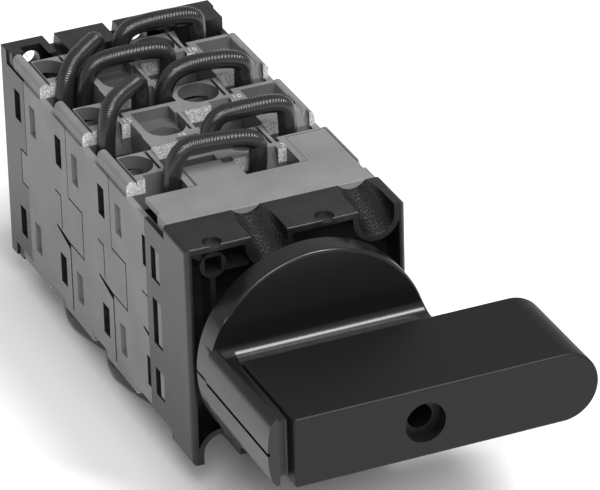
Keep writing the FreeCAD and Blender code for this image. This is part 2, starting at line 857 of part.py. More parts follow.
def neck_profile():
    """Section of the neck in Y and Z: concave fillets where it stands on the knob."""
    face_y = frame_front - knob_gap - knob_thickness
    end_y = frame_front - lever_back - 0.5
    bend = neck_fillet * (1 - math.sqrt(0.5))
    wide = neck_half + neck_fillet
    points = []
    for sign in (1, -1):
        a = V(0, face_y + 0.5, sign * wide)
        b = V(0, face_y, sign * wide)
        m = V(0, face_y - bend, sign * (neck_half + bend))
        c = V(0, face_y - neck_fillet, sign * neck_half)
        d = V(0, end_y, sign * neck_half)
        points.append((a, b, m, c, d))
    (a, b, m, c, d), (a2, b2, m2, c2, d2) = points
    edges = [Part.LineSegment(a, b), Part.Arc(b, m, c), Part.LineSegment(c, d), Part.LineSegment(d, d2),
             Part.LineSegment(d2, c2), Part.Arc(c2, m2, b2), Part.LineSegment(b2, a2), Part.LineSegment(a2, a)]
    face = Part.Face(Part.Wire([e.toShape() for e in edges]))
    face.translate(V(-knob_radius, 0, 0))
    return face.extrude(V(2 * knob_radius, 0, 0))


def lever():
    back = frame_front - lever_back
    front = frame_front - lever_front
    centre = lever_right - lever_half
    left_top, left_low = V(lever_left, 0, lever_half), V(lever_left, 0, -lever_half)
    right_top, right_low = V(centre, 0, lever_half), V(centre, 0, -lever_half)
    edges = [Part.LineSegment(left_low, left_top), Part.LineSegment(left_top, right_top),
             Part.Arc(right_top, V(lever_right, 0, 0), right_low), Part.LineSegment(right_low, left_low)]
    shape = rounded_y(edges, back, front)
    front_edges = [e for e in shape.Edges if all(abs(v.Y - front) < 0.01 for v in e.Vertexes)]
    return shape.makeFillet(lever_edge, front_edges)


def pointer():
    """Left end of the grip, a narrow block with a pointed outline."""
    outline = [(pointer_right, pointer_half_base), (pointer_shoulder, pointer_half_base),
               (pointer_left, pointer_half_tip), (pointer_left, -pointer_half_tip),
               (pointer_shoulder, -pointer_half_base), (pointer_right, -pointer_half_base)]
    y0 = frame_front - pointer_front
    y1 = frame_front - knob_gap - knob_thickness + 0.5
    web_half = pointer_half_base - pointer_groove
    web = box(pointer_right - 0.5, lever_left + 0.5, y0 + pointer_groove, y1, -web_half, web_half)
    return prism_y(outline, y0, y1).fuse(web).common(rod_y(0, 0, -pointer_left, y0 - 1, y1))


def handle():
    back = frame_front - knob_gap
    face = back - knob_thickness
    knob = rod_y(0, 0, knob_radius, face, back)
    rings = rod_y(0, 0, knob_radius - knob_rim, back - knob_hollow, back + 1)
    rings = rings.cut(rod_y(0, 0, collar_radius, back - knob_hollow - 1, back + 2))
    hub_end = frame_front + tray_depth - hub_gap
    hub = rod_y(0, 0, hub_radius, back - 0.5, hub_end)
    neck = neck_profile().common(rod_y(0, 0, knob_radius, frame_front - lever_back - 1, back))
    shape = knob.cut(rings).fuse([hub, neck, lever(), pointer()])
    front = frame_front - lever_front
    mark = box(pointer_left - 1, pointer_left + mark_depth, frame_front - pointer_front - 1,
               frame_front - mark_back, -mark_width / 2, mark_width / 2)
    cuts = [mark, socket(frame_front - shaft_front - 0.2, hub_end + 1),
            rod_y(hole_x, 0, counterbore_radius, front - 1, front + counterbore_depth),
            rod_y(hole_x, 0, hole_radius, front - 1, front + hole_depth)]
    return shape.cut(cuts)


# Wire links

def rounded_route(points, radii):
    """Straight runs joined by tangent arcs, one radius for each inner point."""
    edges = []
    start = points[0]
    for i, radius in enumerate(radii):
        corner = points[i + 1]
        before = (corner - points[i]).normalize()
        after = (points[i + 2] - corner).normalize()
        half = (math.pi - before.getAngle(after)) / 2
        reach = radius / math.tan(half)
        bisector = (after - before).normalize()
        middle = corner + bisector * (radius / math.sin(half) - radius)
        enter = corner - before * reach
        leave = corner + after * reach
        edges.append(Part.LineSegment(start, enter).toShape())
        edges.append(Part.Arc(enter, middle, leave).toShape())
        start = leave
    edges.append(Part.LineSegment(start, points[-1]).toShape())
    return Part.Wire(edges)


def tube(points, radii):
    path = rounded_route(points, radii)
    ring = Part.Wire(Part.makeCircle(wire_radius, points[0], points[1] - points[0]))
    return path.makePipeShell([ring], True, False)


def wire_foot(column, seam, offset, sign):
    """End and lower bend of a wire in its terminal; sign is that of Z."""
    x = columns[column] + offset
    z = sign * bar_mid
    if is_front_facing(column):
        return V(x, seam + front_wire_end, z), V(x, seam + front_well_leg, z)
    return V(x, seam + rear_wire_end, z), V(x, seam + rear_well_leg, z)


def straight_link(seam, first, second):
    """Arch across the deck between two terminals of one row."""
    a_end, a_bend = wire_foot(first, seam, wire_right, 1)
    b_end, b_bend = wire_foot(second, seam, wire_far_end, 1)
    exit_point = V(a_bend.x, a_bend.y, deck_exit)
    left = V(a_bend.x + arch_lean, a_bend.y, arch_left)
    right = V(b_bend.x, b_bend.y, arch_right)
    return tube([a_end, a_bend, exit_point, left, right, b_bend, b_end], [wire_bend, 4.5, 6.0, 3.4, wire_bend])


def diagonal_link(seam):
    """Arch from the first column's front well to the second column's rear well."""
    a_end, a_bend = wire_foot(0, seam, wire_left, 1)
    b_end, b_bend = wire_foot(1, seam, wire_left, 1)
    exit_point = V(a_bend.x, a_bend.y, deck_exit)
    left = V(a_bend.x + 0.8, a_bend.y + 3.8, diagonal_top)
    right = V(b_bend.x, b_bend.y, diagonal_top)
    return tube([a_end, a_bend, exit_point, left, right, b_bend, b_end], [wire_bend, 4.0, 4.0, 4.0, wire_bend])


def bottom_link(rear_seam, front_seam):
    """Loop under the housings between two terminals of the first column."""
    a_end, a_bend = wire_foot(0, rear_seam, wire_left, -1)
    b_end, b_bend = wire_foot(0, front_seam, wire_right, -1)
    exit_point = V(a_bend.x, a_bend.y, -deck_exit)
    rear = V(a_bend.x, a_bend.y - 2.5, -bottom_loop)
    front = V(b_bend.x, b_bend.y, -bottom_loop)
    return tube([a_end, a_bend, exit_point, rear, front, b_bend, b_end], [wire_bend, 3.5, 3.5, 4.0, wire_bend])


seams = {cell: seam_y(cell) for cell in range(1, cell_count + 1)}

save("handle", handle())
save("front_frame", front_frame())
save("front_cover", front_cover())
save("rear_plate", rear_plate())
save("switch_shaft", switch_shaft())
save("detent_star", detent_star())
save("detent_leaf_upper", detent_leaf())
save("detent_leaf_lower", flip_z(detent_leaf()))

screws = []
for cell, seam in seams.items():
    save("cell_housing_%d" % cell, cell_housing(cell))
    save("cam_block_%d" % cell, cam_block(cell))
    for name, level, pair in (("front", front_level, (1, 3)), ("rear", rear_level, (0, 2))):
        for word, side in (("left", -1), ("right", 1)):
            save("plunger_%d_%s_%s" % (cell, name, word), plunger(seam, level, side))
            save("contact_bridge_%d_%s_%s" % (cell, name, word), contact_bridge(seam, level, side))
        springs = [contact_spring(seam, level, side) for side in (-1, 1)]
        save("contact_springs_%d_%s" % (cell, name), Part.makeCompound(springs))
        contacts = both_ways([fixed_contact(column, seam) for column in pair], flip_z)
        save("fixed_contacts_%d_%s" % (cell, name), Part.makeCompound(contacts))
    screws += both_ways([terminal_screw(column, seam) for column in range(4)], flip_z)
save("terminal_screws", Part.makeCompound(screws))

for cell, seam in seams.items():
    name = "wire_link_rear_%d" % cell
    save(name, straight_link(seam, 1, 3))
for cell in (1, 3):
    save("wire_link_front_%d" % cell, straight_link(seams[cell], 0, 2))
for cell in (2, 3):
    save("wire_link_diagonal_%d" % cell, diagonal_link(seams[cell]))
save("wire_link_bottom_rear", bottom_link(seams[3], seams[2]))
save("wire_link_bottom_front", bottom_link(seams[2], seams[1]))
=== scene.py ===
import json
import math
import bpy
import bmesh
from mathutils import Matrix, Vector


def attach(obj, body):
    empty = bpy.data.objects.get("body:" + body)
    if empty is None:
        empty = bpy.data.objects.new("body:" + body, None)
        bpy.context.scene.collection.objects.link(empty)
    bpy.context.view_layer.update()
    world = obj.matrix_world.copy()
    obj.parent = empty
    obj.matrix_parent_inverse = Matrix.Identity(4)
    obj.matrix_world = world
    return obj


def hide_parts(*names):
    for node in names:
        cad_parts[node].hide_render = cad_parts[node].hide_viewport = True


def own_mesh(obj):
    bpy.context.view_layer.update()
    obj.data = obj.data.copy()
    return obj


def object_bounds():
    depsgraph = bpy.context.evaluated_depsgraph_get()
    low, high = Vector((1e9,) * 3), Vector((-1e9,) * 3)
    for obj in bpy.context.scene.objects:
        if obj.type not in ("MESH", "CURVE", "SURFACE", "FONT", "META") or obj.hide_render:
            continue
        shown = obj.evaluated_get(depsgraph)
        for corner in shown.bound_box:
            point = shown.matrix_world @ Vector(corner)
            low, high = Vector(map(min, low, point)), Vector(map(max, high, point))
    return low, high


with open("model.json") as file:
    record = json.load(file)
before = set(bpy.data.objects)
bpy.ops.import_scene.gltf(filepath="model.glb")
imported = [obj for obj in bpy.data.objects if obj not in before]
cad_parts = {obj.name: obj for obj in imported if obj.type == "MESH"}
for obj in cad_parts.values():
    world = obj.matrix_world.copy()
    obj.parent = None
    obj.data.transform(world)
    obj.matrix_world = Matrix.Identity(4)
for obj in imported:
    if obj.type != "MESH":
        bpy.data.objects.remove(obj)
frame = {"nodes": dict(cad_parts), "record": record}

cadLow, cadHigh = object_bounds()
record = frame["record"]
nodes = frame["nodes"]
bodyOf = {n: body for body, members in record["behaviour"]["bodies"].items() for n in members}
slotOf = {s["node"]: s["material_slot"] for s in record["subparts"]}

mm = 0.001
weld = 0.000002         # metres: corners closer together than this are one
near = 0.05             # millimetres: close enough to lie on a line
frontFace = -96.4       # the front frame's front face, in millimetres along the axis
cells = {"seams": {1: -57.6, 2: -34.8, 3: -12.0},      # rear joint of each cell, along the axis
         "columns": (-18.0, -6.4, 5.2, 16.8),          # middles of the four terminal columns, across
         "depth": 22.8, "top": 23.25}                  # of one cell, and of the deck above the axis


# small helpers

def colourOf(text):
    parts = [int(text[i:i + 2], 16) / 255 for i in (1, 3, 5)]
    linear = [c / 12.92 if c <= 0.04045 else ((c + 0.055) / 1.055) ** 2.4 for c in parts]
    return (*linear, 1.0)


def fillRamp(elements, stops):
    while len(elements) < len(stops):
        elements.new(0.5)
    for element, (share, colour) in zip(elements, stops):
        element.position = share
        element.color = colourOf(colour)


def addNode(tree, kind, settings=None, links=None):
    node = tree.nodes.new(kind)
    for key, value in (settings or {}).items():
        if key == "stops":
            fillRamp(node.color_ramp.elements, value)
        elif isinstance(key, int) or key in node.inputs:
            node.inputs[key].default_value = value
        else:
            setattr(node, key, value)
    for key, source in (links or {}).items():
        tree.links.new(source, node.inputs[key])
    return node


def newMaterial(name, surface):
    material = bpy.data.materials.new(name)
    material.use_nodes = True
    tree = material.node_tree
    shader = tree.nodes["Principled BSDF"]
    for key, value in surface.items():
        shader.inputs[key].default_value = colourOf(value) if key == "Base Color" else value
    place = addNode(tree, "ShaderNodeTexCoord")
    return material, tree, shader, place.outputs


def newPiece(name, bm, *materials):
    mesh = bpy.data.meshes.new(name)
    bm.to_mesh(mesh)
    bm.free()
    for material in materials:
        mesh.materials.append(material)
    piece = bpy.data.objects.new(name, mesh)
    bpy.context.scene.collection.objects.link(piece)
    return piece


# camera: the photograph was taken with a long lens from the upper left of the handle

view = {"azimuth": -22.799, "elevation": 28.676, "roll": -1.687,         # degrees
        "distance": 0.99487, "across": 0.00017, "upwards": 0.01692,      # metres from the frame's front face
        "focalPixels": 5264.7, "pictureWidth": 600, "sensorWidth": 36, "clip": (0.05, 10)}


def makeCamera():
    az, el, roll = (math.radians(view[k]) for k in ("azimuth", "elevation", "roll"))
    back = Vector((math.sin(az) * math.cos(el), -math.cos(az) * math.cos(el), math.sin(el)))
    level = (-back).cross(Vector((0, 0, 1))).normalized()
    upright = level.cross(-back)
    right = level * math.cos(roll) + upright * math.sin(roll)
    up = upright * math.cos(roll) - level * math.sin(roll)
    data = bpy.data.cameras.new("studioCamera")
    data.sensor_width = view["sensorWidth"]
    data.lens = view["sensorWidth"] * view["focalPixels"] / view["pictureWidth"]
    data.clip_start, data.clip_end = view["clip"]
    camera = bpy.data.objects.new("studioCamera", data)
    bpy.context.scene.collection.objects.link(camera)
    turn = Matrix((right, up, back)).transposed().to_4x4()
    spot = right * view["across"] + up * view["upwards"] + back * view["distance"]
    camera.matrix_world = Matrix.Translation(spot + Vector((0, frontFace * mm, 0))) @ turn
    bpy.context.scene.camera = camera
    print("camera set")


# soft studio light on a pale floor: a bright room, a soft box high in front and a strip above the handle,
# with sizes in metres and power in watts

studio = {"worldColour": "#fdfdff", "worldStrength": 0.44, "aim": (0.0, -0.05, 0.0),
          "floorSize": 4.0, "floorGap": 0.0002,
          "paper": {"Base Color": "#f6f6f5", "Roughness": 0.95, "Specular IOR Level": 0.1}}
lamps = {"frontSoftbox": {"spot": (-0.2, -1.0, 0.9), "power": 12.6, "size": (0.7, 0.7)},
         "stripAbove": {"spot": (0.42, -0.52, 0.98), "power": 11.5, "size": (0.2, 0.55)},
         "sideFill": {"spot": (-1.1, 0.35, 0.35), "power": 0.8, "size": (0.6, 0.6)}}


def areaLight(name, lamp):
    data = bpy.data.lights.new(name, "AREA")
    data.energy = lamp["power"]
    data.shape = "RECTANGLE"
    data.size, data.size_y = lamp["size"]
    light = bpy.data.objects.new(name, data)
    bpy.context.scene.collection.objects.link(light)
    light.location = lamp["spot"]
    light.rotation_mode = "QUATERNION"
    light.rotation_quaternion = (Vector(studio["aim"]) - Vector(lamp["spot"])).to_track_quat("-Z", "Y")


def makeStudio():
    world = bpy.data.worlds.new("paleRoom")
    world.use_nodes = True
    room = world.node_tree.nodes["Background"]
    room.inputs["Color"].default_value = colourOf(studio["worldColour"])
    room.inputs["Strength"].default_value = studio["worldStrength"]
    bpy.context.scene.world = world
    bpy.context.scene.view_settings.view_transform = "Standard"
    bm = bmesh.new()
    bmesh.ops.create_grid(bm, x_segments=1, y_segments=1, size=studio["floorSize"] / 2)
    bmesh.ops.translate(bm, verts=bm.verts, vec=(0, 0, cadLow.z - studio["floorGap"]))
    newPiece("studioFloor", bm, newMaterial("seamlessPaper", studio["paper"])[0])
    for name, lamp in lamps.items():
        areaLight(name, lamp)
    print("studio set")


# finishes: each is a surface with layers of noise. Clouds and specks tint it, sheen varies its roughness and
# grain is its relief. On some finishes the clouds also carry painted light, painted shade and painted glints,
# as each one says. Grain finer than about 0.3 mm wouldn't show in the render, so it is drawn that coarse

# glass-filled polyamide, moulded: matt mid grey, clouded over 11 mm by the melt, with a grain of 0.3 mm
greyMoulded = {"surface": {"Roughness": 0.55, "Specular IOR Level": 0.4},
               "clouds": {"perMetre": 90, "detail": 4,
                          "stops": ((0.35, "#6f6f70"), (0.5, "#747475"), (0.68, "#7a7a7b"))},
               "specks": {"perMetre": 3200, "detail": 1, "share": 0.2,
                          "stops": ((0.3, "#b4b4b4"), (0.62, "#ffffff"))},
               "grain": {"perMetre": 3200, "detail": 1, "strength": 0.35, "depth": 0.00003}}

# the pits and pockets of the deck are shaped by polished core pins, so smoother; their darker colour is
# painted shade, for the shade deep in these recesses
greyPaintedPitShade = dict(greyMoulded, surface={"Roughness": 0.42, "Specular IOR Level": 0.4},
                    clouds={"perMetre": 90, "detail": 4,
                            "stops": ((0.35, "#515152"), (0.5, "#565657"), (0.68, "#5c5c5d"))})

# the same polyamide where the tool wall was spark-eroded: like sandpaper, with bright 0.3 mm grit, and paler.
# Both the paleness and the bright grit are partly the erosion and partly painted light, as the block fronts
# face the lamps
greyErodedPaintedLight = {"surface": {"Roughness": 0.7, "Specular IOR Level": 0.4},
              "clouds": {"perMetre": 3600, "detail": 2,
                         "stops": ((0.36, "#909090"), (0.5, "#a4a4a4"), (0.66, "#d2d2d2"))},
              "grain": {"perMetre": 3600, "detail": 2, "strength": 0.6, "depth": 0.00006}}

# the joints between the housings, the slits round their snaps and the walls of the deep windows are painted
# dark:
# partly dust, in patches of about 2 mm, and partly painted shade in these narrow gaps, so they read as dark
# lines
dustAndPaintedShadeJoint = {"surface": {"Roughness": 0.8, "Specular IOR Level": 0.15},
              "clouds": {"perMetre": 600, "detail": 3, "stops": ((0.4, "#161616"), (0.7, "#2a2928"))}}

# glass-filled polyamide in black: satin, smoky over 4 mm, with a grain of 0.4 mm
blackMoulded = {"surface": {"Roughness": 0.36, "Specular IOR Level": 0.42},
                "clouds": {"perMetre": 260, "detail": 5, "stops": ((0.38, "#131315"), (0.72, "#1f1f22"))},
                "grain": {"perMetre": 2600, "detail": 2, "strength": 0.3, "depth": 0.00003}}

# the frame's grooves: spark-eroded, with 0.4 mm grit in their relief; lighter specks in the colour stand for
# single facets of the grit catching the light: painted glints
blackErodedPaintedGlints = {"surface": {"Roughness": 0.3, "Specular IOR Level": 0.5},
               "clouds": {"perMetre": 2300, "detail": 2, "stops": ((0.55, "#080809"), (0.78, "#2c2c2f"))},
               "grain": {"perMetre": 2300, "detail": 2, "strength": 0.7, "depth": 0.00022}}

# black ABS handle, moulded in a finely blasted tool: semi-gloss with a soft grain of 0.6 mm. Its base colour
# is a touch lighter than the lever's, standing for the floor's reflection in the knob's face: painted
# reflection
blackAbs = {"surface": {"Base Color": "#111112", "Roughness": 0.26, "Specular IOR Level": 0.42},
            "grain": {"perMetre": 1800, "detail": 3, "strength": 0.3, "depth": 0.000012}}

# the lever is grained in the tool where the hand grips it: the same ABS, matt, with glints of 0.3 mm
grainedAbs = {"surface": {"Base Color": "#0b0b0c", "Roughness": 0.5, "Specular IOR Level": 0.29},
              "grain": {"perMetre": 3000, "detail": 2, "strength": 0.5, "depth": 0.00005}}

# zinc-plated steel: pale, with faint streaks about 1 mm wide from drawing
zincSteel = {"surface": {"Base Color": "#c9cac6", "Metallic": 1},
             "sheen": {"perMetre": 900, "detail": 3, "from": 0.24, "to": 0.44}}

# hard-rolled spring strip: grey steel with rolling lines of about 0.3 mm
springSteel = {"surface": {"Base Color": "#a3a4a6", "Metallic": 1},
               "sheen": {"perMetre": 4000, "detail": 2, "from": 0.22, "to": 0.38}}

# stamped brass: warm, dulled by handling in stains of about 3 mm
stampedBrass = {"surface": {"Metallic": 1, "Roughness": 0.42},
                "clouds": {"perMetre": 300, "detail": 5, "stops": ((0.4, "#7a6a44"), (0.75, "#57492d"))}}

# acetal: waxy white with a dull sheen, mottled over 2 mm
whiteAcetal = {"surface": {"Base Color": "#e3e0d8"},
               "sheen": {"perMetre": 500, "detail": 3, "from": 0.34, "to": 0.5}}


def makeFinish(name, look):
    material, tree, shader, place = newMaterial(name, look["surface"])
    noise = {}
    for layer in ("clouds", "specks", "sheen", "grain"):
        if layer in look:
            scale = {"Scale": look[layer]["perMetre"], "Detail": look[layer]["detail"]}
            field = addNode(tree, "ShaderNodeTexNoise", scale, {"Vector": place["Object"]})
            noise[layer] = field.outputs["Fac"]
    if "clouds" in look:
        tint = addNode(tree, "ShaderNodeValToRGB", {"stops": look["clouds"]["stops"]},
                       {"Fac": noise["clouds"]})
        colour = tint.outputs["Color"]
        if "specks" in look:
            specks = look["specks"]
            grit = addNode(tree, "ShaderNodeValToRGB", {"stops": specks["stops"]}, {"Fac": noise["specks"]})
            mixed = addNode(tree, "ShaderNodeMix",
                            {"data_type": "RGBA", "blend_type": "MULTIPLY", 0: specks["share"]},
                            {6: colour, 7: grit.outputs["Color"]})
            colour = mixed.outputs[2]
        tree.links.new(colour, shader.inputs["Base Color"])
    if "sheen" in look:
        rough = addNode(tree, "ShaderNodeMapRange",
                        {"To Min": look["sheen"]["from"], "To Max": look["sheen"]["to"]},
                        {"Value": noise["sheen"]})
        tree.links.new(rough.outputs["Result"], shader.inputs["Roughness"])
    if "grain" in look:
        relief = addNode(tree, "ShaderNodeBump",
                         {"Strength": look["grain"]["strength"], "Distance": look["grain"]["depth"]},
                         {"Height": noise["grain"]})
        tree.links.new(relief.outputs["Normal"], shader.inputs["Normal"])
    return material


# PVC insulation: glossy black, ribbed across on the outside of its bends. UV runs along and round the wire,
# and the 96 ribs are about half a millimetre apart, coarse enough to show. The grooves between the ribs are
# painted darker than the rest of the sheath: painted shade

pvcSheath = {"surface": {"Roughness": 0.28, "Specular IOR Level": 0.6},
             "stops": ((0.05, "#1c1c1e"), (0.45, "#030304")),
             "ribs": 96, "ribDepth": 0.0001, "ribStrength": 0.5,
             "ribsFrom": 0.35, "ribsFull": 0.8,         # how far the surface faces up where they start
             "waverPerMetre": 700, "sway": 0.8}         # they waver a little, over 1.4 mm


def makePvcSheath():
    look = pvcSheath
    material, tree, shader, place = newMaterial("blackPvcInsulation", look["surface"])
    along = addNode(tree, "ShaderNodeSeparateXYZ", links={"Vector": place["UV"]})
    turns = addNode(tree, "ShaderNodeMath", {"operation": "MULTIPLY", 1: look["ribs"] * 2 * math.pi},
                    {0: along.outputs["X"]})
    waver = addNode(tree, "ShaderNodeTexNoise", {"Scale": look["waverPerMetre"], "Detail": 1},
                    {"Vector": place["Object"]})
    sway = addNode(tree, "ShaderNodeMath", {"operation": "MULTIPLY_ADD", 1: look["sway"]},
                   {0: waver.outputs["Fac"], 2: turns.outputs[0]})
    wave = addNode(tree, "ShaderNodeMath", {"operation": "SINE"}, {0: sway.outputs[0]})
    outward = addNode(tree, "ShaderNodeSeparateXYZ", links={"Vector": place["Normal"]})
    where = addNode(tree, "ShaderNodeMapRange", {"From Min": look["ribsFrom"], "From Max": look["ribsFull"]},
                    {"Value": outward.outputs["Z"]})
    ribs = addNode(tree, "ShaderNodeMath", {"operation": "MULTIPLY"},
                   {0: wave.outputs[0], 1: where.outputs["Result"]})
    tint = addNode(tree, "ShaderNodeValToRGB", {"stops": look["stops"]}, {"Fac": ribs.outputs[0]})
    tree.links.new(tint.outputs["Color"], shader.inputs["Base Color"])
    relief = addNode(tree, "ShaderNodeBump",
                     {"Strength": look["ribStrength"], "Distance": look["ribDepth"], "invert": True},
                     {"Height": ribs.outputs[0]})
    tree.links.new(relief.outputs["Normal"], shader.inputs["Normal"])
    return material


finishes = {"grey_housing": makeFinish("greyMouldedPolyamide", greyMoulded),
            "black_frame": makeFinish("blackMouldedPolyamide", blackMoulded),
            "black_handle": makeFinish("blackMouldedAbs", blackAbs),
            "zinc_steel": makeFinish("zincPlatedSteel", zincSteel),
            "spring_steel": makeFinish("rolledSpringSteel", springSteel),
            "contact_brass": makeFinish("stampedBrass", stampedBrass),
            "white_acetal": makeFinish("whiteMouldedAcetal", whiteAcetal),
            "wire_sheath": makePvcSheath()}
paleErodedPaintedLight = makeFinish("greySparkErodedPolyamidePaintedLight", greyErodedPaintedLight)
erodedGroovesPaintedGlints = makeFinish("blackSparkErodedPolyamidePaintedGlints", blackErodedPaintedGlints)
pitsPaintedShade = makeFinish("greyPaintedPitShadePolyamide", greyPaintedPitShade)
grainedLever = makeFinish("blackGrainedAbs", grainedAbs)
dustAndPaintedShadeJoints = makeFinish("polyamideJointDustAndPaintedShade", dustAndPaintedShadeJoint)


def dressNodes():
    for name, thing in nodes.items():
        for slot in thing.material_slots:
            slot.material = finishes[slotOf[name]]
    print("finishes on", len(nodes), "nodes")


# rounded edges: a copy of a moulding, cleaned to flat faces and bevelled, stands for it. Faces that the tool
# left rougher or smoother, and dusty joints, are then found by their place, with painted light on the pale
# block fronts and painted shade in the pits and joints. Sizes in millimetres, facings as the part of the
# normal that points along the axis or to the side

edgeWidths = {"handle": 0.6, "front_frame": 0.22, "front_cover": 0.18, "rear_plate": 0.25,
              "cell_housing_1": 0.14, "cell_housing_2": 0.14, "cell_housing_3": 0.14}
creases = {"flat": 0.5, "sharp": 32, "stillSharp": 50, "shaded": 40}    # degrees between two faces
bevelSteps = {"broad": 3, "fine": 2}
# the handle: edges behind the knob disc stay sharp, and those of the pointer and the bore are rounded less
grip = {"knobRadius": 22.6, "rimWidth": 0.3, "knobFrom": -100.6, "leverFrom": -112.3, "leverLeft": -18.5,
        "pointerEdge": 0.2, "boreX": 7.8, "boreRadius": 4.3}
# the frame: long edges round its front face, and the two slanting grooves in its top and bottom
frameRim = {"width": 0.35, "shortest": 3.0, "halfWidth": 22.5}
groove = {"middles": (-5.4, 16.5), "halfWidth": 3.75, "floor": 15.5, "endFacing": 0.9}
# the deck: pale upper parts of the blocks' front faces (painted light), then the screw pits and pockets
# (painted shade)
block = {"paleAbove": 20.2, "fronts": (-8.7, -20.0), "frontDepth": 0.1, "frontFacing": 0.95}
pit = {"floor": 12.0, "rim": 22.95, "halfWidth": 19.8}
# the side walls: joints, slits round the snaps, and windows, all dark inside (dust and painted shade) but for
# the shallow windows
sideWall = {"inner": 21.05, "skin": 22.3, "snapHigh": 7.0, "windowHigh": 17.0, "deepFloor": 21.45,
            "facing": 0.5, "jointHalf": 0.3, "tongueHalf": 5.2, "shallowBack": 4.4, "shallowHalf": 1.8}


def faceMiddle(face):
    return face.calc_center_median() / mm


def edgeMiddle(edge):
    return sum((v.co for v in edge.verts), Vector()) / 2 / mm


def isPaleFront(face, seam):
    middle = faceMiddle(face)
    return (face.normal.y < -block["frontFacing"] and abs(middle.z) > block["paleAbove"]
            and min(abs(middle.y - seam - y) for y in block["fronts"]) < block["frontDepth"])


def isPit(face):
    middle = faceMiddle(face)
    return abs(middle.x) < pit["halfWidth"] and pit["floor"] < abs(middle.z) < pit["rim"]


def isDustAndShadeJoint(face, seam):
    middle = faceMiddle(face)
    x, z = abs(middle.x), abs(middle.z)
    if x > sideWall["skin"]:
        toJoint = min(abs(middle.y - seam), abs(middle.y - seam + cells["depth"]))
        return toJoint < sideWall["jointHalf"] and z > sideWall["tongueHalf"]
    if x < sideWall["inner"] or z > sideWall["windowHigh"]:
        return False
    if z < sideWall["snapHigh"]:
        return True
    inShallow = abs(middle.y - seam + sideWall["shallowBack"]) < sideWall["shallowHalf"]
    return not inShallow and (abs(face.normal.x) < sideWall["facing"] or x < sideWall["deepFloor"])


def isGroove(face):
    middle = faceMiddle(face)
    return (min(abs(middle.x - x) for x in groove["middles"]) < groove["halfWidth"]
            and groove["floor"] < abs(middle.z) < cells["top"] - near
            and abs(face.normal.y) < groove["endFacing"])


def isLever(face):
    middle = faceMiddle(face)
    return middle.y < grip["leverFrom"] and middle.x > grip["leverLeft"]


def isFrameRim(edge):
    middle = edgeMiddle(edge)
    atSide = abs(abs(middle.x) - frameRim["halfWidth"]) < near or abs(abs(middle.z) - cells["top"]) < near
    return edge.calc_length() >= frameRim["shortest"] * mm and abs(middle.y - frontFace) < near and atSide


def handleEdgeWidth(edge):
    middle = edgeMiddle(edge)
    atBore = math.hypot(middle.x - grip["boreX"], middle.z) < grip["boreRadius"]
    if middle.x < grip["leverLeft"] - near or atBore:
        return grip["pointerEdge"]
    onRim = abs(math.hypot(middle.x, middle.z) - grip["knobRadius"]) < grip["rimWidth"]
    if middle.y > grip["knobFrom"] and not onRim:
        return 0
    return edgeWidths["handle"]


def sharpEdges(bm, degrees):
    return [e for e in bm.edges if len(e.link_faces) == 2 and e.calc_face_angle(0) > math.radians(degrees)]


def bevelEdges(bm, edges, width, steps, clamp):
    bmesh.ops.bevel(bm, geom=edges, offset=width * mm, segments=steps, affect="EDGES", profile=0.5,
                    material=-1, clamp_overlap=clamp)


def roundHandle(bm):
    width, fineWidth = edgeWidths["handle"], grip["pointerEdge"]
    broad = [e for e in sharpEdges(bm, creases["sharp"]) if handleEdgeWidth(e) == width]
    bevelEdges(bm, broad, width, bevelSteps["broad"], False)
    fine = [e for e in sharpEdges(bm, creases["stillSharp"]) if handleEdgeWidth(e) == fineWidth]
    bevelEdges(bm, fine, fineWidth, bevelSteps["fine"], True)


def roundFrame(bm):
    rim = [e for e in sharpEdges(bm, creases["sharp"]) if isFrameRim(e)]
    bevelEdges(bm, rim, frameRim["width"], bevelSteps["broad"], False)
    bevelEdges(bm, sharpEdges(bm, creases["stillSharp"]), edgeWidths["front_frame"], bevelSteps["fine"], True)


def splitFaces(bm, spot, along):
    bmesh.ops.bisect_plane(bm, geom=bm.verts[:] + bm.edges[:] + bm.faces[:], dist=weld / 2,
                           plane_co=Vector(spot) * mm, plane_no=along)


def dressCell(bm, seam):
    for height in (block["paleAbove"], -block["paleAbove"]):
        splitFaces(bm, (0, 0, height), (0, 0, 1))
    splitFaces(bm, (0, seam - sideWall["jointHalf"], 0), (0, 1, 0))
    splitFaces(bm, (0, seam - cells["depth"] + sideWall["jointHalf"], 0), (0, 1, 0))
    # faces of the cell take: pale fronts with painted light, joints with dust and painted shade, pits with
    # painted shade
    for face in bm.faces:
        kinds = (isPaleFront(face, seam), isDustAndShadeJoint(face, seam), isPit(face))
        face.material_index = kinds.index(True) + 1 if any(kinds) else 0


